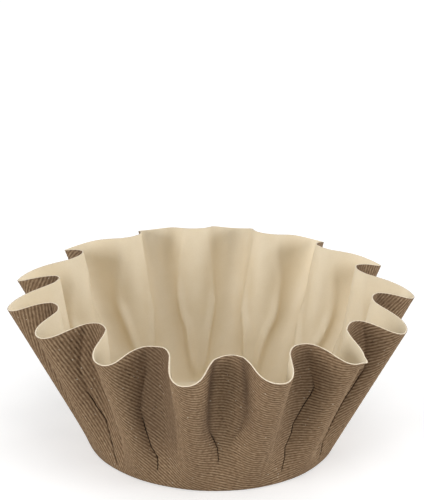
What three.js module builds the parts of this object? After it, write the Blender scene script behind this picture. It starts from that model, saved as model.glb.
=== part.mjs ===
import * as THREE from "three";

// Fluted paper baking mold, pressed in one piece from a flat round sheet.
// Units are millimetres, +Z is up, the base rests on z = 0 and is centred on the Z axis.
// The side that faces -Y is the front.

// Driving dimensions
const FLUTE_COUNT = 14;
const BASE_RADIUS = 34;
const WALL_SLANT = 45.6;
const CREST_RADIUS = 55;
const VALLEY_RADIUS = 42.9;
const PAPER_THICKNESS = 0.45;
const BASE_FOLD_WIDTH = 1.4;
const FIRST_CREST_DEG = -6.3;

// How much the wave is rounded at its crests and valleys, which steepens its flanks
const WAVE_ROUNDING = 0.08;

// Tucks: two narrow folds in every valley that take up the spare paper.
// Places along the wall are shares of the slant, measured from the base.
const TUCK_DEPTH = 0.8;
const TUCK_HALF_WIDTH = 0.6;
const TUCK_TOP = 0.72;
const TUCK_FOOT = 0.04;
const TUCK_SPREAD_TOP = 0.46;
const TUCK_SPREAD_FOOT = 0.12;

// Unevenness of a pressed paper sheet, flute by flute, counted from the front crest.
// Reach is in millimetres, shift in degrees and lean in shares of half a flute.
const CREST_REACH = [0.3, 0.1, -0.3, -0.4, 0.7, 0.4, -0.6, 0.5, -0.4, 0.8, 1.1, 1.1, -1.1, -1.6];
const CREST_SHIFT_DEG = [-1.4, 0, -0.7, -0.9, 1.8, 0.9, -0.8, 0.6, 1, 3, 5, 0.7, -1.4, -0.4];
const VALLEY_REACH = [1.3, 0.2, -0.3, 0.3, -0.5, 0.4, -0.3, 0.6, -0.4, 0.2, -0.3, 1.3, -2.4, -0.1];
const VALLEY_SHIFT_DEG = [-0.4, -1.3, 0.9, 0.7, 1.2, 0.3, -0.4, 0.6, 1.5, 3, 1.4, 0, -1.9, 1];
const LEAN_AFTER_CREST = [5, 5, 11, -1, 6, 3, 5, 0, 4, 3, -2, 5, -1, 15];
const LEAN_AFTER_VALLEY = [-3, 7, 2, 3, 4, 5, 0, 4, 2, 5, 5, 0, 2, -2];
const LEAN_UNIT = 0.01;

// Mesh steps
const ROWS_ON_WALL = 8;
const ROWS_ON_FOLD = 2;
const NORMAL_STEP = 0.02;

const halfFlute = Math.PI / FLUTE_COUNT;
const firstCrest = THREE.MathUtils.degToRad(FIRST_CREST_DEG);

// A knot is a crest (even number) or a valley (odd number) of the rim.
function flatAngle(knot) {
  return firstCrest + knot * halfFlute;
}

function unevenness(list, flute) {
  const index = ((flute % FLUTE_COUNT) + FLUTE_COUNT) % FLUTE_COUNT;
  return list[index % list.length];
}

function rimKnot(knot) {
  const flute = Math.floor(knot / 2);
  const isCrest = flute * 2 === knot;
  const reach = unevenness(isCrest ? CREST_REACH : VALLEY_REACH, flute);
  const shift = unevenness(isCrest ? CREST_SHIFT_DEG : VALLEY_SHIFT_DEG, flute);
  const radius = (isCrest ? CREST_RADIUS : VALLEY_RADIUS) + reach;
  return { radius, angle: flatAngle(knot) + THREE.MathUtils.degToRad(shift) };
}

// Point of the rim for a place u between the knots
function rimPoint(u) {
  const knot = Math.floor(u);
  const share = u - knot;
  const from = rimKnot(knot);
  const to = rimKnot(knot + 1);
  const flute = Math.floor(knot / 2);
  const afterCrest = flute * 2 === knot;
  const leanList = afterCrest ? LEAN_AFTER_CREST : LEAN_AFTER_VALLEY;
  const lean = unevenness(leanList, flute) * LEAN_UNIT * (afterCrest ? -1 : 1);
  const rounding = WAVE_ROUNDING * Math.sin(2 * Math.PI * share);
  const turned = share + rounding + lean * Math.sin(Math.PI * share);
  const wave = (1 - Math.cos(Math.PI * share)) / 2;
  return {
    radius: from.radius + (to.radius - from.radius) * wave,
    angle: from.angle + (to.angle - from.angle) * turned,
  };
}

// Distance raised off the table: zero on the base, equal to q on the wall, eased on the fold
function raised(q) {
  const half = BASE_FOLD_WIDTH / 2;
  if (q <= -half) {
    return 0;
  }
  if (q >= half) {
    return q;
  }
  return (q + half) ** 2 / (4 * half);
}

// Middle of the sheet without its tucks. The wall runs straight from the base to the rim
// and keeps the length that it has on the flat sheet, so a valley stands higher than a crest.
function smoothSheet(u, q) {
  const rim = rimPoint(u);
  const outward = (rim.radius - BASE_RADIUS) / WALL_SLANT;
  const upward = Math.sqrt(Math.max(1 - outward * outward, 0));
  const wall = raised(q);
  const radius = BASE_RADIUS + q - wall * (1 - outward);
  const onBase = flatAngle(u);
  const turn = Math.min(Math.max(q / WALL_SLANT, 0), 1);
  const angle = onBase + (rim.angle - onBase) * turn;
  const x = radius * Math.sin(angle);
  const y = -radius * Math.cos(angle);
  return new THREE.Vector3(x, y, wall * upward + PAPER_THICKNESS / 2);
}

function outwardNormal(u, q) {
  const stepU = NORMAL_STEP;
  const stepQ = NORMAL_STEP * 10;
  const alongU = smoothSheet(u + stepU, q).sub(smoothSheet(u - stepU, q));
  const ahead = Math.min(q + stepQ, WALL_SLANT);
  const alongQ = smoothSheet(u, ahead).sub(smoothSheet(u, q - stepQ));
  return alongU.cross(alongQ).normalize();
}

// Share of half a flute between a valley and its tucks, for a share of the wall
function tuckSpread(share) {
  const along = THREE.MathUtils.smoothstep(share, TUCK_FOOT, TUCK_TOP);
  return TUCK_SPREAD_FOOT + (TUCK_SPREAD_TOP - TUCK_SPREAD_FOOT) * along;
}

function tuckStrength(share) {
  const rising = THREE.MathUtils.smoothstep(share, TUCK_FOOT, TUCK_FOOT + 0.12);
  const fading = 1 - THREE.MathUtils.smoothstep(share, TUCK_TOP - 0.28, TUCK_TOP);
  return rising * fading;
}

// Columns of the mesh beside a valley: the valley itself, its tuck with both lips, and the
// flank up to the crest. The pinch is 1 in the bottom of a tuck and 0 elsewhere.
const FLANK_SHARES = [0.22, 0.48, 0.74];

function columnsOfHalfFlute(share, sheetRadius) {
  const spread = tuckSpread(share);
  const lip = TUCK_HALF_WIDTH / (sheetRadius * halfFlute);
  const safeLip = Math.min(lip, spread * 0.6, (1 - spread) * 0.4);
  const outerLip = spread + safeLip;
  const columns = [
    { offset: 0, pinch: 0 },
    { offset: (spread - safeLip) / 2, pinch: 0 },
    { offset: spread - safeLip, pinch: 0 },
    { offset: spread, pinch: 1 },
    { offset: outerLip, pinch: 0 },
  ];
  FLANK_SHARES.forEach((flank) => {
    columns.push({ offset: outerLip + (1 - outerLip) * flank, pinch: 0 });
  });
  return columns;
}

function columnsOfRow(q) {
  const share = Math.min(Math.max(q / WALL_SLANT, 0), 1);
  const half = columnsOfHalfFlute(share, BASE_RADIUS + Math.max(q, 0));
  const columns = [];
  for (let flute = 0; flute < FLUTE_COUNT; flute += 1) {
    const valley = flute * 2 + 1;
    columns.push({ u: valley - 1, pinch: 0 });
    for (let index = half.length - 1; index > 0; index -= 1) {
      columns.push({ u: valley - half[index].offset, pinch: half[index].pinch });
    }
    half.forEach((column) => {
      columns.push({ u: valley + column.offset, pinch: column.pinch });
    });
  }
  return columns;
}

// Rows of the mesh, as distances from the base fold on the flat sheet
function rowDistances() {
  const rows = [];
  const half = BASE_FOLD_WIDTH / 2;
  for (let index = 0; index <= ROWS_ON_FOLD; index += 1) {
    rows.push(-half + (BASE_FOLD_WIDTH * index) / ROWS_ON_FOLD);
  }
  for (let index = 1; index <= ROWS_ON_WALL; index += 1) {
    rows.push(half + ((WALL_SLANT - half) * index) / ROWS_ON_WALL);
  }
  return rows;
}

// One skin of the sheet: side is 1 for the outer face and -1 for the inner face.
function skinPoints(rows, side) {
  return rows.map((q, rowIndex) => {
    const share = Math.min(Math.max(q / WALL_SLANT, 0), 1);
    return columnsOfRow(q).map((column) => {
      const point = smoothSheet(column.u, q);
      if (rowIndex === 0) {
        point.z -= (side * PAPER_THICKNESS) / 2;
        return point;
      }
      const normal = outwardNormal(column.u, q);
      const tuck = column.pinch * TUCK_DEPTH * tuckStrength(share);
      return point.addScaledVector(normal, (side * PAPER_THICKNESS) / 2 - tuck);
    });
  });
}

function buildMold() {
  const rows = rowDistances();
  const positions = [];
  const indices = [];
  const addPoint = (point) => positions.push(point.x, point.y, point.z) / 3 - 1;

  const outer = skinPoints(rows, 1).map((row) => row.map(addPoint));
  const inner = skinPoints(rows, -1).map((row) => row.map(addPoint));
  const outerCentre = addPoint(new THREE.Vector3(0, 0, 0));
  const innerCentre = addPoint(new THREE.Vector3(0, 0, PAPER_THICKNESS));

  const columnCount = outer[0].length;
  const lastRow = rows.length - 1;
  for (let column = 0; column < columnCount; column += 1) {
    const next = (column + 1) % columnCount;
    indices.push(outerCentre, outer[0][next], outer[0][column]);
    indices.push(innerCentre, inner[0][column], inner[0][next]);
    for (let row = 0; row < lastRow; row += 1) {
      const a = outer[row][column];
      const b = outer[row][next];
      const c = outer[row + 1][next];
      const d = outer[row + 1][column];
      indices.push(a, b, c, a, c, d);
      const e = inner[row][column];
      const f = inner[row][next];
      const g = inner[row + 1][next];
      const h = inner[row + 1][column];
      indices.push(e, g, f, e, h, g);
    }
    const rimOut = outer[lastRow][column];
    const rimOutNext = outer[lastRow][next];
    const rimIn = inner[lastRow][column];
    const rimInNext = inner[lastRow][next];
    indices.push(rimOut, rimOutNext, rimInNext, rimOut, rimInNext, rimIn);
  }

  const geometry = new THREE.BufferGeometry();
  geometry.setAttribute("position", new THREE.Float32BufferAttribute(positions, 3));
  geometry.setIndex(indices);
  geometry.computeVertexNormals();
  return geometry;
}

const brownPaper = new THREE.MeshStandardMaterial({
  color: "#7d6650",
  roughness: 0.85,
  metalness: 0,
});

const paperMold = new THREE.Mesh(buildMold(), brownPaper);
paperMold.name = "paper_mold";

const group = new THREE.Group();
group.name = "fluted_paper_mold";
group.add(paperMold);

export default group;
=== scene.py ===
# %% [markdown]
# # A fluted paper baking mold
#
# The real mold is one flat round sheet of two-layer baking paper. The outer layer is brown and
# pressed into fine straight ribs, the inner layer is smooth cream greaseproof paper. A press
# pushes the round sheet into a die: the middle stays flat and becomes the base, and the wall
# rises in fourteen deep flutes. Spare paper between the flutes is pinched into narrow tucks.
#
# This lesson follows the factory. It cuts the ribbed sheet flat and scores it, folds it and its
# lining by one rule, and joins the two at the rim. Lengths are in metres, +Z is up and -Y faces
# the camera.

# %% Load the measured frame
import math

import bmesh
import bpy
import numpy as np
from mathutils import Matrix, Vector


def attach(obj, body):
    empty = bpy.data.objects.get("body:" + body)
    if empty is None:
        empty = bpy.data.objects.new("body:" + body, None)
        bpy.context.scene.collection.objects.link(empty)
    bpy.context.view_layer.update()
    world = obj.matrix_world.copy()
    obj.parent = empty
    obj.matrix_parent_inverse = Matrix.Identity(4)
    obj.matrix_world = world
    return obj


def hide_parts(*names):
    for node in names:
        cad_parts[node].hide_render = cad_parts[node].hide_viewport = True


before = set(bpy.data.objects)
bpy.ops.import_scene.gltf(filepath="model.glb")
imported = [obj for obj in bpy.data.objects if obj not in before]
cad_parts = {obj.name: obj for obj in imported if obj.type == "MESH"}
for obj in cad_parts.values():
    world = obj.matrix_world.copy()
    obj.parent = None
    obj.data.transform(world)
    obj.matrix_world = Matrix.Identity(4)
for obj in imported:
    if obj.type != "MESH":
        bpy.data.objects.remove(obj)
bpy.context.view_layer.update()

MM = 0.001

# %% [markdown]
# ## The camera
#
# A long lens looks down on the mold by about 22 degrees, from a little over 0.7 m away, and leans
# by about one degree. A camera can be aimed by eye, but the rim has so many waves that a small
# error shows on every one. So the place, the tilt and the lens come from the rim, the base line
# and the two sides, read off the picture, and they are written here as plain numbers.

# %% Place the camera
IMAGE_HEIGHT_PX = 500
SENSOR = 36.0
LENS_PX = 2565.6
CAMERA_PLACE = Vector((-0.78, -643.87, 318.04)) * MM
LOOKS_DOWN = math.radians(22.16)
LEANS = math.radians(1.30)
CLIP_START = 0.01

bpy.ops.object.camera_add(location=CAMERA_PLACE)
camera = bpy.context.object
camera.name = "camera"
camera.data.sensor_width = SENSOR
camera.data.lens = LENS_PX * SENSOR / IMAGE_HEIGHT_PX
camera.data.clip_start = CLIP_START

level_right = Vector((1, 0, 0))
level_up = Vector((0, math.sin(LOOKS_DOWN), math.cos(LOOKS_DOWN)))
right = math.cos(LEANS) * level_right + math.sin(LEANS) * level_up
up = math.cos(LEANS) * level_up - math.sin(LEANS) * level_right
aim = Matrix((right, up, right.cross(up))).transposed()
camera.matrix_world = Matrix.Translation(CAMERA_PLACE) @ aim.to_4x4()
bpy.context.scene.camera = camera
print("lens %.1f mm" % camera.data.lens)

# %% [markdown]
# ## Small helpers for materials
#
# Colours are written as they look on a screen, and the first helper turns them into the linear
# values that Blender computes with. Another one adds a node with its settings and its links in
# one line. The rest are short forms of it for sums, blends and empty materials.

# %% Colour and node helpers
def linear(hex_colour):
    values = [int(hex_colour[i:i + 2], 16) / 255 for i in (1, 3, 5)]
    return [v / 12.92 if v <= 0.04045 else ((v + 0.055) / 1.055) ** 2.4 for v in values] + [1.0]


def add_node(tree, kind, inputs=None, **settings):
    made = tree.nodes.new(kind)
    for name, value in settings.items():
        setattr(made, name, value)
    for key, value in (inputs or {}).items():
        if isinstance(value, bpy.types.NodeSocket):
            tree.links.new(value, made.inputs[key])
        else:
            made.inputs[key].default_value = value
    return made


def math_node(tree, operation, a, b):
    return add_node(tree, "ShaderNodeMath", {0: a, 1: b}, operation=operation).outputs[0]


def blend_colour(tree, factor, a, b, blend_type="MIX"):
    return add_node(tree, "ShaderNodeMix", {"Factor": factor, 6: a, 7: b},
                    data_type="RGBA", blend_type=blend_type).outputs[2]


def new_material(name):
    material = bpy.data.materials.new(name)
    material.use_nodes = True
    material.node_tree.nodes.clear()
    return material


print("mid grey is", round(linear("#808080")[0], 3), "in linear values")

# %% [markdown]
# ## The floor and the light
#
# The mold stands on a plain white table. A large sheet of matte card is enough. To the camera it
# is white, and to every other ray it is a little darker, so that it throws less light back up
# at the mold. A soft window stands low on either side, which leaves the valleys darker than the
# flutes, as on the real mold. A weak one overhead and an even sky fill in the rest, at a level
# where a colour looks about as it is written.

# %% Build the floor
FLOOR_SIZE = 6.0
CARD_LIFT = 0.5
bpy.ops.object.select_all(action="DESELECT")
bpy.ops.mesh.primitive_plane_add(size=FLOOR_SIZE)
floor = bpy.context.object
floor.name = "floor"
card = new_material("matte_white_card")
tree = card.node_tree
ray = add_node(tree, "ShaderNodeLightPath")
card_colour = blend_colour(tree, ray.outputs["Is Camera Ray"], linear("#d6d4d0"), linear("#d9d9d9"))
card_face = add_node(tree, "ShaderNodeBsdfDiffuse", {"Color": card_colour})
lift = add_node(tree, "ShaderNodeEmission", {
    "Color": (1, 1, 1, 1),
    "Strength": math_node(tree, "MULTIPLY", ray.outputs["Is Camera Ray"], CARD_LIFT),
})
lit_card = add_node(tree, "ShaderNodeAddShader", {0: card_face.outputs[0], 1: lift.outputs[0]})
add_node(tree, "ShaderNodeOutputMaterial", {"Surface": lit_card.outputs[0]})
floor.data.materials.append(card)
print("floor", FLOOR_SIZE, "m")

# %% Hang the lights
def soft_window(name, place, target, size, watts):
    bpy.ops.object.light_add(type="AREA", location=place)
    window = bpy.context.object
    window.name = name
    window.data.size = size
    window.data.energy = watts
    toward = Vector(target) - Vector(place)
    window.rotation_euler = toward.to_track_quat("-Z", "Y").to_euler()
    return window


MOLD_MIDDLE = (0, 0, 0.025)
soft_window("window_front_left", (-1.49, -1.25, 0.55), MOLD_MIDDLE, 0.9, 19.5)
soft_window("window_right", (1.89, -0.51, 0.45), MOLD_MIDDLE, 0.9, 18)
soft_window("window_above", (0.2, -0.3, 1.9), MOLD_MIDDLE, 1.1, 11)

# %% Put up the even sky
SKY = 0.46
world = bpy.data.worlds.new("even_sky")
bpy.context.scene.world = world
world.use_nodes = True
world.node_tree.nodes.clear()
tree = world.node_tree
ray = add_node(tree, "ShaderNodeLightPath")
sky_colour = blend_colour(tree, ray.outputs["Is Camera Ray"], (SKY, SKY, SKY, 1), (1, 1, 1, 1))
sky = add_node(tree, "ShaderNodeBackground", {"Color": sky_colour})
add_node(tree, "ShaderNodeOutputWorld", {"Surface": sky.outputs[0]})
bpy.context.scene.view_settings.view_transform = "Standard"
print("sky", SKY, "of white")

# %% [markdown]
# ## The sizes of the mold
#
# The numbers are those of the press. A crest is the outer top of a flute and a valley is the
# inner one, and a knot is either of them, counted round the rim from the front crest. Paper is
# never pressed quite evenly, so each crest and valley has its own small reach (in millimetres)
# and shift (in degrees), and each flank leans a little to one side. The nine flutes in view are
# as on the real mold, and the ones at the back are made up after them.

# %% Sizes of the press
FLUTES = 14
KNOTS = FLUTES * 2
BASE_RADIUS = 34.0 * MM
WALL_SLANT = 45.6 * MM
CREST_RADIUS = 55.0 * MM
VALLEY_RADIUS = 42.9 * MM
PAPER = 0.45 * MM
BASE_FOLD = 1.4 * MM
FIRST_CREST = math.radians(-6.3)
HALF_FLUTE = math.pi / FLUTES
WAVE_ROUNDING = 0.08
SHEET_RADIUS = BASE_RADIUS + WALL_SLANT

CREST_REACH = [0.3, 0.1, -0.3, -0.4, 0.7, 0.4, -0.6, 0.5, -0.4, 0.8, 1.1, 1.1, -1.1, -1.6]
CREST_SHIFT = [-1.4, 0, -0.7, -0.9, 1.8, 0.9, -0.8, 0.6, 1, 3, 5, 0.7, -1.4, -0.4]
VALLEY_REACH = [1.3, 0.2, -0.3, 0.3, -0.5, 0.4, -0.3, 0.6, -0.4, 0.2, -0.3, 1.3, -2.4, -0.1]
VALLEY_SHIFT = [-0.4, -1.3, 0.9, 0.7, 1.2, 0.3, -0.4, 0.6, 1.5, 3, 1.4, 0, -1.9, 1]
LEAN_AFTER_CREST = [5, 5, 11, -1, 6, 3, 5, 0, 4, 3, -2, 5, -1, 15]
LEAN_AFTER_VALLEY = [-3, 7, 2, 3, 4, 5, 0, 4, 2, 5, 5, 0, 2, -2]
LEAN_UNIT = 0.01

knot_radius = np.empty(KNOTS + 1)
knot_radius[0:KNOTS:2] = CREST_RADIUS + np.array(CREST_REACH) * MM
knot_radius[1:KNOTS:2] = VALLEY_RADIUS + np.array(VALLEY_REACH) * MM
knot_radius[KNOTS] = knot_radius[0]
knot_shift = np.empty(KNOTS + 1)
knot_shift[0:KNOTS:2] = np.radians(CREST_SHIFT)
knot_shift[1:KNOTS:2] = np.radians(VALLEY_SHIFT)
knot_shift[KNOTS] = knot_shift[0]
knot_angle = FIRST_CREST + np.arange(KNOTS + 1) * HALF_FLUTE + knot_shift
knot_lean = np.empty(KNOTS)
knot_lean[0::2] = np.array(LEAN_AFTER_CREST) * -LEAN_UNIT
knot_lean[1::2] = np.array(LEAN_AFTER_VALLEY) * LEAN_UNIT
print("flat sheet %.1f mm across" % (2 * SHEET_RADIUS / MM))

# %% [markdown]
# ## How the press folds the sheet
#
# Every point of the flat sheet has a distance from the middle and a direction. The press keeps
# the distance, measured along the paper: up to the base fold the point stays on the table, and
# past it the point climbs a straight line to its place on the rim. A crest leans far out and a
# valley hardly does, so with the same length of paper the valleys end up higher. It is the
# reason why the rim of such a mold goes up and down as well as in and out. A cage or a lattice
# could be pushed into this shape too, but only this rule keeps the paper's real length.

# %% The folding rule
def rim_place(u):
    knot = np.floor(u).astype(int) % KNOTS
    share = u - np.floor(u)
    turned = share + WAVE_ROUNDING * np.sin(2 * np.pi * share)
    turned = turned + knot_lean[knot] * np.sin(np.pi * share)
    wave = (1 - np.cos(np.pi * share)) / 2
    radius = knot_radius[knot] + (knot_radius[knot + 1] - knot_radius[knot]) * wave
    angle = knot_angle[knot] + (knot_angle[knot + 1] - knot_angle[knot]) * turned
    angle = angle + (np.floor(u) - knot) * HALF_FLUTE
    return radius, angle


def fold(u, q):
    """Places of the sheet's middle: u counts knots round it, q is metres past the base fold."""
    half = BASE_FOLD / 2
    climb = np.where(q >= half, q, np.where(q <= -half, 0, (q + half) ** 2 / (4 * half)))
    rim_radius, rim_angle = rim_place(u)
    outward = (rim_radius - BASE_RADIUS) / WALL_SLANT
    upward = np.sqrt(1 - outward ** 2)
    radius = BASE_RADIUS + q - climb * (1 - outward)
    flat_angle = FIRST_CREST + u * HALF_FLUTE
    angle = flat_angle + (rim_angle - flat_angle) * np.clip(q / WALL_SLANT, 0, 1)
    height = climb * upward + PAPER / 2
    return np.stack([radius * np.sin(angle), -radius * np.cos(angle), height], axis=-1)


def outward_normal(u, q):
    step_u = 0.01
    step_q = 0.1 * MM
    along_u = fold(u + step_u, q) - fold(u - step_u, q)
    along_q = fold(u, q + step_q) - fold(u, q - step_q)
    normal = np.cross(along_u, along_q)
    return normal / np.linalg.norm(normal, axis=-1, keepdims=True)


rim_heights = fold(np.array([0.0, 1.0]), np.array([WALL_SLANT, WALL_SLANT]))[:, 2] / MM
print("rim height: crest %.1f mm, valley %.1f mm" % tuple(rim_heights))

# %% [markdown]
# ## The tucks
#
# Towards the base the flutes get shallow while the sheet has more paper than the wall needs, so
# the press pinches the rest into tucks. Each valley has two. At the rim they are only soft
# creases close to the valley, lower down they spread and close into dark slits, and at the base
# they run together again. Those in view are drawn as they run on the real mold, with their
# kinks, as points (share of the wall, degrees from the valley). The others follow the common
# course, each a little off it. No two are alike: some only show as a faint crease, and more shade
# is painted along some creases and in some valleys than in others. A tuck is named by its
# valley, counted from the one right of the front crest, and by its side: -1 left, 1 right.

# %% Courses of the tucks
COMMON_TUCK = [
    (1.0, 2.6), (0.86, 3.6), (0.72, 5.2), (0.60, 5.9), (0.46, 5.3), (0.36, 3.7), (0.25, 3.1),
    (0.14, 2.5), (0.04, 1.7),
]
COMMON_SLIT = (0.04, 0.66)
SEEN_TUCKS = {
    (12, -1): [(1.0, 3.6), (0.86, 5.4), (0.72, 6.8), (0.55, 6.6), (0.44, 5.5), (0.35, 3.6),
               (0.25, 3.3), (0.13, 2.8), (0.03, 1.5)],
    (13, -1): [(1.0, 2.5), (0.81, 3.1), (0.66, 4.9), (0.57, 5.9), (0.40, 5.5), (0.29, 4.9),
               (0.20, 3.2), (0.15, 3.5), (0.09, 4.2)],
    (13, 1): [(1.0, 4.2), (0.80, 6.0), (0.62, 6.9), (0.48, 6.2), (0.36, 5.9), (0.28, 5.9),
              (0.20, 5.2)],
    (0, -1): [(1.0, 3.7), (0.86, 4.7), (0.72, 5.6), (0.57, 6.1), (0.48, 5.6), (0.40, 4.1), (0.33, 2.9),
              (0.25, 2.7), (0.20, 2.8)],
    (0, 1): [(1.0, 2.9), (0.85, 4.0), (0.71, 4.9), (0.60, 5.3), (0.49, 4.5), (0.42, 3.4), (0.39, 2.4),
             (0.34, 1.7), (0.30, 1.6)],
    (1, -1): [(1.0, 4.2), (0.80, 6.0), (0.55, 6.5), (0.45, 6.7), (0.30, 6.4), (0.21, 5.7)],
    (1, 1): [(1.0, 2.0), (0.83, 3.4), (0.72, 5.2), (0.66, 5.0), (0.60, 4.3), (0.50, 3.2), (0.43, 2.2),
             (0.36, 2.3), (0.26, 1.0), (0.19, 1.6), (0.07, 1.0)],
    (2, 1): [(1.0, 3.4), (0.84, 5.6), (0.70, 7.2), (0.55, 6.2), (0.36, 4.3), (0.22, 2.7), (0.18, 1.1),
             (0.08, 1.4), (0.04, 1.1)],
}
# Where the tuck is open as a slit, from and to a share of the wall
SEEN_SLITS = {
    (12, -1): (0.03, 0.60), (12, 1): None, (13, -1): (0.09, 0.56), (13, 1): None,
    (0, -1): (0.20, 0.52), (0, 1): None, (1, -1): None, (1, 1): (0.07, 0.78),
    (2, -1): None, (2, 1): (0.04, 0.74),
}
open_slits = sum(slit is not None for slit in SEEN_SLITS.values())
print(len(SEEN_TUCKS), "courses drawn,", open_slits, "of them open as slits")

# %% Strength of the creases and of the shade painted along them
FAINT_CREASES = {
    (12, -1): 0.6, (13, 1): 0.55, (0, 1): 0.8, (1, -1): 0.45, (1, 1): 0.75, (2, 1): 0.65,
    (3, -1): 0.6,
}
# Painted shade: how dark the paper is painted along each crease and in each valley, in place of the shade
# that falls there.
COMMON_PAINTED_SHADE = 0.9
CREASE_PAINTED_SHADE = {
    (11, 1): 0.3, (12, -1): 0.4, (12, 1): 0.5, (0, -1): 1.6, (0, 1): 1.4, (1, 1): 0.4,
    (2, 1): 0.5, (3, -1): 0.3,
}
COMMON_SHADE = 0.4
VALLEY_SHADE = {12: 0.3, 13: 0.95, 0: 0.15, 1: 0.5}
WOBBLE_DEG = 0.5
chance = np.random.default_rng(14)
tucks = []
for valley in range(FLUTES):
    for side in (-1, 1):
        course = SEEN_TUCKS.get((valley, side))
        if course is None:
            wobble = chance.uniform(-WOBBLE_DEG, WOBBLE_DEG, len(COMMON_TUCK))
            course = [(share, off + w) for (share, off), w in zip(COMMON_TUCK, wobble)]
        course = sorted(course)
        tucks.append({
            "valley_u": valley * 2 + 1,
            "side": side,
            "share": np.array([c[0] for c in course]),
            "offset_u": side * np.radians([c[1] for c in course]) / HALF_FLUTE,
            "slit": SEEN_SLITS.get((valley, side), COMMON_SLIT),
            "crease": FAINT_CREASES.get((valley, side), 1.0),
            # How dark shade is painted along this crease and in this valley.
            "painted_shade": CREASE_PAINTED_SHADE.get((valley, side), COMMON_PAINTED_SHADE),
            "shade": VALLEY_SHADE.get(valley, COMMON_SHADE),
        })
print(len(tucks), "tucks,", len(SEEN_TUCKS), "of them drawn from the real one")

# %% [markdown]
# ## The ribbed outer layer, cut flat
#
# The ribs of the outer paper are straight and parallel, because the paper comes off a fluted
# roller before anything is cut from it. On the finished mold they run round the front and up
# and down the left side, which is what straight lines do on a folded disc. A sheet built ring
# by ring can't hold them. So the lesson starts with a rectangular grid: its lines run with the
# ribs, four to each rib, and it is turned to the ribs' direction. The ribs follow as height.

# %% Lay out the ribbed paper
RIB_PITCH = 0.88 * MM
RIB_TURN = math.radians(24)
ALONG_RIB = 1.6 * MM
LINES_PER_RIB = 4
ROLL_MARGIN = 3 * MM
ROLL_SIDE = 2 * SHEET_RADIUS + ROLL_MARGIN
# The sheet lies a hair off the middle, so that no blade meets a line of the grid end on.
GRID_ASIDE = 0.013 * MM

across_count = round(ROLL_SIDE / RIB_PITCH * LINES_PER_RIB)
roll_width = across_count * RIB_PITCH / LINES_PER_RIB
bpy.ops.object.select_all(action="DESELECT")
bpy.ops.mesh.primitive_grid_add(
    x_subdivisions=round(ROLL_SIDE / ALONG_RIB), y_subdivisions=across_count, size=1,
    location=(GRID_ASIDE, 0, 0), rotation=(0, 0, RIB_TURN),
)
mold = bpy.context.object
mold.name = "ribbed_paper_mold"
mold.scale = (ROLL_SIDE, roll_width, 1)
bpy.ops.object.transform_apply(location=True, rotation=True, scale=True)
print("paper laid out in", len(mold.data.polygons), "cells")

# %% [markdown]
# ## The round die and the scoring blades
#
# A round die cuts the disc, and blades score the places of the base fold and of the tucks, so
# that the paper bends along real edges and not across cells. In Blender the blades are thin
# upright walls: circles that are extruded through the paper, and a strip of faces along each
# tuck and along both its sides. Intersect with Cut then splits the paper where they pass. A
# boolean would do the same to a solid, but this is a sheet.

# %% Set up the blades
BLADE_HALF = 3 * MM
RING_SIDES = 448
TUCK_HALF = 0.45 * MM
BLADE_STEPS = 24
BLADE_BELOW = 0.01
BLADE_TOP = 0.985
FOLD_SCORES = (-0.5, -0.25, 0, 0.25, 0.5)
RING_TURN = 0.0031
UPRIGHT = 0.5

bpy.ops.object.mode_set(mode="EDIT")
bpy.ops.mesh.select_all(action="DESELECT")
fold_rings = [BASE_RADIUS + BASE_FOLD * step for step in FOLD_SCORES]
for radius in [SHEET_RADIUS] + fold_rings:
    bpy.ops.mesh.primitive_circle_add(
        vertices=RING_SIDES, radius=radius, location=(0, 0, -BLADE_HALF),
        rotation=(0, 0, RING_TURN),
    )
    bpy.ops.mesh.extrude_region_move(TRANSFORM_OT_translate={"value": (0, 0, 2 * BLADE_HALF)})
print(len(fold_rings) + 1, "round blades")


# %% Stand a blade along each tuck
def tuck_line(tuck, shares, aside):
    """Points of a tuck on the flat sheet, moved aside by so many metres."""
    distance = BASE_RADIUS + shares * WALL_SLANT
    offset = np.interp(shares, tuck["share"], tuck["offset_u"])
    angle = FIRST_CREST + (tuck["valley_u"] + offset) * HALF_FLUTE + aside / distance
    return np.stack([distance * np.sin(angle), -distance * np.cos(angle)], axis=-1)


mesh_edit = bmesh.from_edit_mesh(mold.data)
for tuck in tucks:
    steps = np.unique(np.concatenate([
        np.linspace(tuck["share"][0] - BLADE_BELOW, BLADE_TOP, BLADE_STEPS), tuck["share"][:-1],
    ]))
    for aside in (-TUCK_HALF, 0, TUCK_HALF):
        low = [mesh_edit.verts.new((x, y, -BLADE_HALF)) for x, y in tuck_line(tuck, steps, aside)]
        high = [mesh_edit.verts.new((v.co.x, v.co.y, BLADE_HALF)) for v in low]
        for i in range(len(low) - 1):
            mesh_edit.faces.new((low[i], low[i + 1], high[i + 1], high[i]))
mesh_edit.normal_update()
for face in mesh_edit.faces:
    face.select = abs(face.normal.z) < UPRIGHT
bmesh.update_edit_mesh(mold.data)
print("cutting faces", sum(f.select for f in mesh_edit.faces))

# %% Cut the disc and score it
WELD = 0.01 * MM
bpy.ops.mesh.intersect(
    mode="SELECT_UNSELECT", separate_mode="CUT", threshold=1e-8, solver="FAST",
)
mesh_edit = bmesh.from_edit_mesh(mold.data)
waste = [f for f in mesh_edit.faces
         if abs(f.normal.z) < UPRIGHT or f.calc_center_median().xy.length > SHEET_RADIUS]
bmesh.ops.delete(mesh_edit, geom=waste, context="FACES")
bmesh.ops.delete(mesh_edit, geom=[v for v in mesh_edit.verts if not v.link_faces], context="VERTS")
for vert in mesh_edit.verts:
    if vert.is_boundary or vert.co.xy.length > SHEET_RADIUS:
        vert.co.xy *= SHEET_RADIUS / vert.co.xy.length
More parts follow.
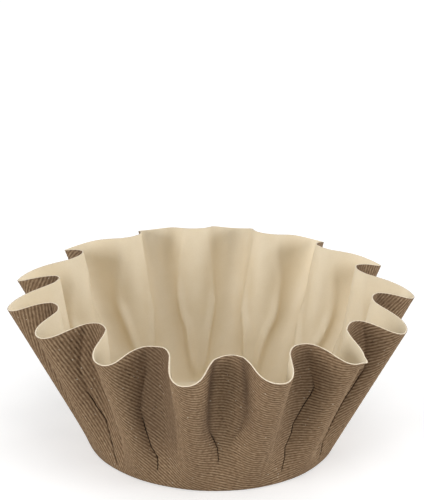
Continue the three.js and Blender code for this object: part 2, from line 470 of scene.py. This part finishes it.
# Intersect may give the same points in another order, so they are sorted before they are welded.
mesh_edit.verts.sort(key=lambda vert: vert.co.x + math.pi * vert.co.y)
bmesh.ops.remove_doubles(mesh_edit, verts=mesh_edit.verts[:], dist=WELD)
bmesh.ops.triangulate(mesh_edit, faces=[f for f in mesh_edit.faces if len(f.verts) > 4])
bmesh.update_edit_mesh(mold.data)
bpy.ops.mesh.select_all(action="SELECT")
bpy.ops.mesh.normals_make_consistent(inside=False)
bpy.ops.object.mode_set(mode="OBJECT")
triangles = sum(len(p.vertices) - 2 for p in mold.data.polygons)
print("disc cut:", len(mold.data.vertices), "points,", triangles, "triangles")

# %% [markdown]
# ## The cream lining, cut flat
#
# The lining is smooth greaseproof paper with no ribs, so it needs far fewer points: a circle
# that is extruded and scaled inwards, ring by ring, and closed in the middle. The rings lie
# close enough to hold the soft ridges that the tucks leave on this side.

# %% Lay out the lining
LINING_SIDES = 504
LINING_ROWS = 28
BASE_RINGS = (0.6, 0.25)
lining_distances = np.concatenate([
    BASE_RADIUS + np.linspace(WALL_SLANT, BASE_FOLD / 2, LINING_ROWS),
    [BASE_RADIUS, BASE_RADIUS - BASE_FOLD / 2],
    [share * BASE_RADIUS for share in BASE_RINGS],
])
bpy.ops.object.select_all(action="DESELECT")
bpy.ops.mesh.primitive_circle_add(vertices=LINING_SIDES, radius=SHEET_RADIUS)
lining = bpy.context.object
lining.name = "lining"
bpy.ops.object.mode_set(mode="EDIT")
for wide, narrow in zip(lining_distances[:-1], lining_distances[1:]):
    shrink = narrow / wide
    bpy.ops.mesh.extrude_region_move()
    bpy.ops.transform.resize(value=(shrink, shrink, 1), center_override=(0, 0, 0))
bpy.ops.mesh.extrude_region_move()
bpy.ops.mesh.merge(type="CENTER")
bpy.ops.mesh.select_all(action="SELECT")
bpy.ops.mesh.normals_make_consistent(inside=False)
bpy.ops.object.mode_set(mode="OBJECT")
print("lining:", len(lining.data.polygons), "faces")

# %% [markdown]
# ## Press both layers into shape
#
# Both flat layers go through the same folding rule. The outer one moves out by half the paper's
# thickness and keeps its ribs, which the fold and the die's edge press flatter. At a tuck a
# strip of the sheet is drawn together into a narrow slit, and its lips stand up a little, the
# one on the side of the crest more. Higher up the tuck is only a soft crease. The lining moves
# in by half the thickness and has the tucks as soft ridges. On the second flute to the right
# the rim is nipped into a small beak, as on the real mold.
#
# All this could be sculpted, but then it would be hard to repeat. As a sum of small bell shapes
# each mark has one depth and one width that can be changed.

# %% Depths and widths of the marks
# Ribs
RIB_HEIGHT = 0.15 * MM
RIB_FLAT_NEAR_FOLD = 5 * MM
RIB_FLAT_NEAR_RIM = 1.2 * MM
FOLD_FLATTENS = 0.85
RIM_FLATTENS = 0.7
# Slits
TUCK_DEPTH = 0.5 * MM
SLIT_HALF = 0.16 * MM
SLIT_PULL = 2.5 * MM
SLIT_OPENS = 0.06
SLIT_CLOSES = 0.14
# Soft creases, and the fine score line in them
SCORE_DEPTH = 0.12 * MM
CREASE_DEPTH = 0.6 * MM
CREASE_WIDTH = 1.15 * MM
CREASE_STARTS = 0.12
RIM_ZONE = (0.8, 1.0)
RIM_SOFTENS = 0.7
# Lips of the outer layer and ridges of the lining
LIP_HEIGHT = 0.16 * MM
LIP_WIDTH = 0.8 * MM
VALLEY_LIP = 0.35
SOFT_LIP = 0.5
RIDGE_DEPTH = 0.75 * MM
RIDGE_WIDTH = 1.15 * MM
# The paper between the two tucks of a valley
VALLEY_RISE = 0.12 * MM
VALLEY_ZONE = (0.1, 0.35)
RISE_EDGE = (-1.3 * MM, 0.7 * MM)
# The beak at the rim
NIP_KNOT = 4.12
NIP_REACH = 1.1 * MM
NIP_WIDTH = 1.0 * MM
NIP_FOOT = 0.93
print("ribs %.2f mm, creases %.1f mm and slits %.1f mm deep"
      % (RIB_HEIGHT / MM, CREASE_DEPTH / MM, (CREASE_DEPTH + TUCK_DEPTH) / MM))

# %% Reach of the painted shade
# Painted shade beside a crease reaches further towards the crest than towards the valley, and it and the
# shade painted in a valley fade in low on the wall.
PAINTED_SHADE_TO_CREST = 3.4 * MM
PAINTED_SHADE_TO_VALLEY = 1.2 * MM
PAINTED_SHADE_STARTS = (0.05, 0.4)
SHADE_STARTS = (0.15, 0.4)
SHADE_EDGE = (-0.8 * MM, 0.4 * MM)
print("wear reaches %.1f mm up a flute" % (PAINTED_SHADE_TO_CREST / MM))


# %% Shapes of a mark
def ramp(value, low, high):
    return np.clip((value - low) / (high - low), 0, 1)


def eased(share):
    return share * share * (3 - 2 * share)


def bell(value, width):
    return np.exp(-(value / width) ** 2)


def knots_from(u, knot):
    """Knots between u and a knot, the short way round."""
    return (u - knot + FLUTES) % KNOTS - FLUTES


print("a quarter up a ramp: plain %.2f, eased %.2f" % (ramp(0.25, 0, 1), eased(0.25)))


# %% Marks of one tuck
def tuck_marks(tuck, side, u, distance):
    """How far a tuck draws the paper aside, sinks it and lifts its lips, and where shade is painted in
    its slit, along its crease and in its valley.
    """
    share = (distance - BASE_RADIUS) / WALL_SLANT
    from_valley = knots_from(u, tuck["valley_u"])
    offset = np.interp(share, tuck["share"], tuck["offset_u"])
    gap = (from_valley - offset) * HALF_FLUTE * distance
    near = np.abs(gap)
    inward = -gap * tuck["side"]
    own_half = from_valley * tuck["side"] > 0
    foot, top = tuck["slit"] or (1, 1)
    slit = ramp(share, foot, foot + SLIT_OPENS) * (1 - ramp(share, top - SLIT_CLOSES, top)) * (share < 1)
    start = tuck["share"][0]
    soft = ramp(share, start, start + CREASE_STARTS) * (1 - RIM_SOFTENS * ramp(share, *RIM_ZONE))
    notch = np.clip(1 - near / TUCK_HALF, 0, 1)

    rise = ramp(share, *VALLEY_ZONE) * (1 - ramp(share, *RIM_ZONE)) * eased(ramp(inward, *RISE_EDGE))
    sunk = CREASE_DEPTH * tuck["crease"] * soft * bell(near, CREASE_WIDTH) - VALLEY_RISE * rise * own_half
    if side > 0:
        inside = near <= TUCK_HALF
        beyond = near - TUCK_HALF
        drawn = np.where(
            inside, gap * (1 - SLIT_HALF / TUCK_HALF),
            np.sign(gap) * (TUCK_HALF - SLIT_HALF) * np.exp(-beyond / SLIT_PULL),
        )
        aside = slit * drawn / (HALF_FLUTE * distance)
        sunk += notch * np.maximum(slit * TUCK_DEPTH, soft * SCORE_DEPTH)
        lip_shape = np.where(inside, near / TUCK_HALF, bell(beyond, LIP_WIDTH))
        height = LIP_HEIGHT * np.where(inward < 0, 1.0, VALLEY_LIP)
        lip = np.maximum(slit, SOFT_LIP * soft) * height * lip_shape
    else:
        aside = 0
        sunk += slit * RIDGE_DEPTH * bell(near, RIDGE_WIDTH)
        lip = 0
    # Painted shade beside the crease and in the valley, in place of the shade that falls there.
    reach = np.where(inward < 0, PAINTED_SHADE_TO_CREST, PAINTED_SHADE_TO_VALLEY)
    painted_shade_part = [start + step for step in PAINTED_SHADE_STARTS]
    painted_shade = tuck["painted_shade"] * ramp(share, *painted_shade_part) * bell(near, reach)
    shaded = tuck["shade"] * ramp(share, *SHADE_STARTS) * eased(ramp(inward, *SHADE_EDGE)) * own_half
    return aside, sunk, lip, slit * notch, np.maximum(painted_shade, shaded)


# %% Press function
def flat_points(obj):
    places = np.empty(len(obj.data.vertices) * 3)
    obj.data.vertices.foreach_get("co", places)
    return places.reshape(-1, 3)[:, :2]


def rib_relief(flat, q):
    """Depth of the ribs' grooves, less near the base fold and at the cut rim."""
    across = flat[:, 1] * math.cos(RIB_TURN) - flat[:, 0] * math.sin(RIB_TURN)
    groove = (np.cos(2 * np.pi * across / RIB_PITCH) - 1) / 2
    flattened = 1 - FOLD_FLATTENS * bell(q - BASE_FOLD / 2, RIB_FLAT_NEAR_FOLD)
    flattened *= 1 - RIM_FLATTENS * bell(q - WALL_SLANT, RIB_FLAT_NEAR_RIM)
    return RIB_HEIGHT * flattened * groove


def keep_values(obj, name, values):
    attribute = obj.data.attributes.new(name, "FLOAT", "POINT")
    attribute.data.foreach_set("value", values.astype(np.float32))


def press(obj, side):
    """Folds a flat layer: side is 1 for the outer layer and -1 for the lining."""
    flat = flat_points(obj)
    distance = np.maximum(np.hypot(flat[:, 0], flat[:, 1]), 1e-9)
    direction = np.arctan2(flat[:, 0], -flat[:, 1])
    u = ((direction - FIRST_CREST) / HALF_FLUTE) % KNOTS
    q = distance - BASE_RADIUS
    moved_u = u.copy()
    raised = np.full(len(u), side * PAPER / 2)
    slit_painted_shade = np.zeros(len(u))
    painted_shade_mask = np.zeros(len(u))
    for tuck in tucks:
        aside, sunk, lip, dark, painted_shade_part = tuck_marks(tuck, side, u, distance)
        moved_u -= aside
        raised += lip - sunk
        # Painted shade: the slit is painted dark, in place of the shade inside it.
        slit_painted_shade = np.maximum(slit_painted_shade, dark)
        # Painted shade beside the creases and in the valleys.
        painted_shade_mask = np.maximum(painted_shade_mask, painted_shade_part)
    beside_nip = knots_from(u, NIP_KNOT) * HALF_FLUTE * distance
    raised += NIP_REACH * bell(beside_nip, NIP_WIDTH) * eased(ramp(q / WALL_SLANT, NIP_FOOT, 1))
    if side > 0:
        raised += rib_relief(flat, q)
    placed = fold(moved_u, q) + outward_normal(moved_u, q) * raised[:, None]
    obj.data.vertices.foreach_set("co", placed.ravel())
    obj.data.update()
    sheet = np.zeros((len(flat), 3), dtype=np.float32)
    sheet[:, :2] = flat / MM
    obj.data.attributes.new("sheet_mm", "FLOAT_VECTOR", "POINT").data.foreach_set("vector", sheet.ravel())
    # Masks of the painted shade: in the slits, and beside the creases and in the valleys.
    keep_values(obj, "slit_painted_shade", slit_painted_shade)
    keep_values(obj, "painted_shade_mask", painted_shade_mask)
    keep_values(obj, "outer_layer", np.full(len(u), float(side > 0)))


press(mold, 1)
press(lining, -1)
bpy.context.view_layer.update()
print("pressed to", [round(v / MM, 1) for v in mold.dimensions])

# %% [markdown]
# ## Join the layers at the cut rim
#
# The outer layer's faces must look outwards and the lining's inwards. Then the two open rims
# are joined by a strip: it is the cut edge of the paper, which shows cream on the real mold.
# Bridge Edge Loops would join them too, but the rims have different numbers of points and lie
# in waves. The strip goes round both at once and always steps on along the rim that is behind,
# by the direction that each point had on the flat sheet.

# %% Turn the faces and give the finishes
def turn_faces(obj, outward):
    bpy.ops.object.select_all(action="DESELECT")
    obj.select_set(True)
    bpy.context.view_layer.objects.active = obj
    face = max(obj.data.polygons, key=lambda p: p.center.z)
    looks_out = Vector((face.center.x, face.center.y, 0)).dot(face.normal) > 0
    if looks_out != outward:
        bpy.ops.object.mode_set(mode="EDIT")
        bpy.ops.mesh.select_all(action="SELECT")
        bpy.ops.mesh.flip_normals()
        bpy.ops.object.mode_set(mode="OBJECT")


FINISHES = [new_material(n) for n in ("ribbed_kraft_paper", "greaseproof_lining", "cut_paper_edge")]
OUTSIDE, LINED, CUT_EDGE = range(3)
turn_faces(mold, True)
turn_faces(lining, False)
for layer, finish in ((mold, OUTSIDE), (lining, LINED)):
    for material in FINISHES:
        layer.data.materials.append(material)
    layer.data.polygons.foreach_set("material_index", [finish] * len(layer.data.polygons))
print("finishes", [m.name for m in FINISHES])

# %% Close the rim
bpy.ops.object.select_all(action="DESELECT")
lining.select_set(True)
mold.select_set(True)
bpy.context.view_layer.objects.active = mold
bpy.ops.object.join()

stitch = bmesh.new()
stitch.from_mesh(mold.data)
sheet_layer = stitch.verts.layers.float_vector["sheet_mm"]
outer_layer = stitch.verts.layers.float["outer_layer"]
rims = {True: [], False: []}
for vert in stitch.verts:
    if vert.is_boundary:
        turn = math.atan2(vert[sheet_layer].x, -vert[sheet_layer].y)
        rims[vert[outer_layer] > 0.5].append((turn, vert.index, vert))
rim_outer, rim_inner = sorted(rims[True]), sorted(rims[False])


def rim_step(rim, step):
    """The point at a step round a rim, the one after it, and the direction of that one."""
    here = rim[step % len(rim)][2]
    after = rim[(step + 1) % len(rim)]
    if step + 1 < len(rim):
        return here, after[2], after[0]
    return here, after[2], math.pi * (1 + (step >= len(rim)))


i = j = 0
while i < len(rim_outer) or j < len(rim_inner):
    outer_now, outer_next, turn_outer = rim_step(rim_outer, i)
    inner_now, inner_next, turn_inner = rim_step(rim_inner, j)
    if turn_outer <= turn_inner:
        strip = stitch.faces.new((outer_now, outer_next, inner_now))
        i += 1
    else:
        strip = stitch.faces.new((outer_now, inner_next, inner_now))
        j += 1
    strip.material_index = CUT_EDGE
stitch.to_mesh(mold.data)
stitch.free()
print("rim strip of", len(rim_outer) + len(rim_inner), "faces")

# %% [markdown]
# ## Check, shade and declare
#
# The finished piece is one closed skin, so no edge may be open and none may have more than two
# faces. Smooth shading up to an angle keeps the ribs soft, as pressed paper is, while the cut rim
# and the slits stay crisp. Then the piece says which part of the measured frame it stands for.

# %% Check that the piece is closed
check = bmesh.new()
check.from_mesh(mold.data)
open_edges = sum(e.is_boundary for e in check.edges)
bad_edges = sum(not e.is_manifold for e in check.edges)
volume = check.calc_volume() / MM ** 3
print("open edges", open_edges, "bad edges", bad_edges, "volume %.0f mm3" % volume)
check.free()

# %% Smooth shading
SHARP_FROM = math.radians(55)
bpy.ops.object.select_all(action="DESELECT")
mold.select_set(True)
bpy.context.view_layer.objects.active = mold
bpy.ops.object.shade_smooth_by_angle(angle=SHARP_FROM)
smooth = sum(face.use_smooth for face in mold.data.polygons)
print(smooth, "of", len(mold.data.polygons), "faces are smooth")

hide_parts("paper_mold")
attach(mold, "root")
print(mold.name, "stands for paper_mold and rides on root")

# %% [markdown]
# ## The outside: brown ribbed kraft paper
#
# Kraft paper is matte and full of short fibres. Here it is dyed brown and pressed into ribs a
# little less than a millimetre apart. The crest of a rib is burnished paler and its groove is
# darker, partly in the paper and partly as painted shade, which the eye reads as fine lines that
# bend with the folds. The lines could be a picture, but a picture would stretch. The folded piece
# remembers where each point lay on the flat sheet, so the pattern is drawn there, straight, and
# follows every fold, as the real ribs do. Beside a crease, down in a valley and in the slits
# shade is painted into the colour, and a few pale fibres stand out.

# %% Pattern coordinates on the flat sheet
def sheet_directions(tree):
    """The flat sheet's millimetres, turned so that X runs with the ribs and Y across."""
    place = add_node(tree, "ShaderNodeAttribute", attribute_name="sheet_mm")
    return add_node(tree, "ShaderNodeVectorRotate", {
        "Vector": place.outputs["Vector"], "Angle": -RIB_TURN,
    }, rotation_type="Z_AXIS").outputs[0]


def stretched_noise(tree, vector, per_mm_along, per_mm_across, detail=2.0, offset=0.0):
    """Noise whose grains are long with the ribs: the two scales are grains to a millimetre."""
    scaled = add_node(tree, "ShaderNodeMapping", {
        "Vector": vector, "Scale": (per_mm_along, per_mm_across, 1), "Location": (offset, offset, 0),
    })
    grains = add_node(tree, "ShaderNodeTexNoise", {
        "Vector": scaled.outputs[0], "Scale": 1.0, "Detail": detail,
    })
    return grains.outputs["Fac"]


print("patterns are read from the flat sheet's millimetres")

# %% Ribs and fibres of the kraft paper
PITCH_MM = RIB_PITCH / MM
RIB_CONTRAST = 0.2
tree = FINISHES[OUTSIDE].node_tree
turned = sheet_directions(tree)
parts = add_node(tree, "ShaderNodeSeparateXYZ", {"Vector": turned})
phase = math_node(tree, "MULTIPLY", parts.outputs["Y"], 2 * math.pi / PITCH_MM)
rib = add_node(tree, "ShaderNodeMath", {0: phase}, operation="COSINE").outputs[0]
# Real fibres are a few hundredths of a millimetre wide. These are coarser, so that they show.
fibre = stretched_noise(tree, turned, 0.9, 2.2, detail=4.0)
breaks = stretched_noise(tree, turned, 0.6, 1.2, detail=3.0, offset=53.0)
uneven = math_node(tree, "ADD", breaks, 0.5)
# Grooves darker and crests paler: partly the paper's own tone, partly painted shade in the grooves.
striped = math_node(tree, "MULTIPLY", math_node(tree, "MULTIPLY", rib, RIB_CONTRAST), uneven)
level = math_node(tree, "ADD", striped, fibre)
shades = add_node(tree, "ShaderNodeValToRGB", {"Fac": level})
shades.color_ramp.elements[0].position = 0.12
shades.color_ramp.elements[0].color = linear("#5a4530")
shades.color_ramp.elements[1].position = 0.88
shades.color_ramp.elements[1].color = linear("#bca587")
middle = shades.color_ramp.elements.new(0.5)
middle.color = linear("#8e7559")
print("ribs every %.2f mm" % PITCH_MM)

# %% Mottling, pale fibres and painted shade
MOTTLING = 0.7
FLECK_LEVEL = 0.83
PAINTED_SHADE_DARKENS = 0.42
patch = stretched_noise(tree, turned, 0.05, 0.08, detail=3.0, offset=31.0)
patch_colour = blend_colour(tree, patch, linear("#fffaf4"), linear("#e2d8d0"))
mottled = blend_colour(tree, MOTTLING, shades.outputs["Color"], patch_colour, "MULTIPLY")
fleck = stretched_noise(tree, turned, 1.3, 1.9, detail=0.0, offset=17.0)
is_fleck = math_node(tree, "GREATER_THAN", fleck, FLECK_LEVEL)
flecked = blend_colour(tree, is_fleck, mottled, linear("#cfc2ae"))
# Painted shade: darker brown beside the creases and in the valleys, in place of the shade that falls
# there.
painted_shade_mask = add_node(tree, "ShaderNodeAttribute", attribute_name="painted_shade_mask").outputs["Fac"]
painted_shade = math_node(tree, "MULTIPLY", painted_shade_mask, PAINTED_SHADE_DARKENS)
with_painted_shade = blend_colour(tree, painted_shade, flecked, linear("#4a3525"))
# Painted shade: the slits are painted nearly black-brown, in place of the shade inside them.
slit_painted_shade = add_node(tree, "ShaderNodeAttribute", attribute_name="slit_painted_shade").outputs["Fac"]
in_tuck = blend_colour(tree, slit_painted_shade, with_painted_shade, linear("#2b1d12"))
print("colour of the kraft paper:", len(tree.nodes), "nodes")

# %% Matte surface of the kraft paper
PAPER_IOR = 1.45
KRAFT_ROUGHNESS = 0.82
FELT_STRENGTH = 0.35
FELT_DEPTH = 0.04 * MM
felt = stretched_noise(tree, turned, 1.6, 5.0, detail=4.0, offset=7.0)
bump = add_node(tree, "ShaderNodeBump", {
    "Height": felt, "Strength": FELT_STRENGTH, "Distance": FELT_DEPTH,
})
paper = add_node(tree, "ShaderNodeBsdfPrincipled", {
    "Base Color": in_tuck, "Roughness": KRAFT_ROUGHNESS, "IOR": PAPER_IOR,
    "Normal": bump.outputs[0],
})
add_node(tree, "ShaderNodeOutputMaterial", {"Surface": paper.outputs[0]})
print("kraft paper with its surface:", len(tree.nodes), "nodes")

# %% [markdown]
# ## The inside and the cut edge
#
# Greaseproof paper is beaten so fine that its surface is dense and a little shiny, cream and
# almost even, with soft clouds where the pulp lay thicker. At the cut edge the paper shows its
# pale core, with the brown layer as a thin line on the outer side.

# %% Greaseproof lining
LINING_ROUGHNESS = 0.55
SPECKLE = 0.25
SPECK_STRENGTH = 0.25
SPECK_DEPTH = 0.03 * MM
tree = FINISHES[LINED].node_tree
turned = sheet_directions(tree)
clouds = stretched_noise(tree, turned, 0.12, 0.16, detail=5.0)
cloudy = blend_colour(tree, clouds, linear("#eee3cd"), linear("#e0d2b6"))
specks = stretched_noise(tree, turned, 1.8, 2.6, detail=3.0, offset=11.0)
faint_specks = math_node(tree, "MULTIPLY", specks, SPECKLE)
lining_colour = blend_colour(tree, faint_specks, cloudy, linear("#cdb792"))
bump = add_node(tree, "ShaderNodeBump", {
    "Height": specks, "Strength": SPECK_STRENGTH, "Distance": SPECK_DEPTH,
})
paper = add_node(tree, "ShaderNodeBsdfPrincipled", {
    "Base Color": lining_colour, "Roughness": LINING_ROUGHNESS, "IOR": PAPER_IOR,
    "Normal": bump.outputs[0],
})
add_node(tree, "ShaderNodeOutputMaterial", {"Surface": paper.outputs[0]})
print("lining:", len(tree.nodes), "nodes")

# %% Cut paper edge
EDGE_ROUGHNESS = 0.85
BROWN_FROM = 0.72
tree = FINISHES[CUT_EDGE].node_tree
turned = sheet_directions(tree)
rough_cut = stretched_noise(tree, turned, 1.5, 1.5, detail=3.0)
core = blend_colour(tree, rough_cut, linear("#f7eedd"), linear("#dfccab"))
layer = add_node(tree, "ShaderNodeAttribute", attribute_name="outer_layer").outputs["Fac"]
brown_part = math_node(tree, "GREATER_THAN", layer, BROWN_FROM)
edge_colour = blend_colour(tree, brown_part, core, linear("#8a6f55"))
paper = add_node(tree, "ShaderNodeBsdfPrincipled", {
    "Base Color": edge_colour, "Roughness": EDGE_ROUGHNESS, "IOR": PAPER_IOR,
})
add_node(tree, "ShaderNodeOutputMaterial", {"Surface": paper.outputs[0]})
print("cut edge:", len(tree.nodes), "nodes")
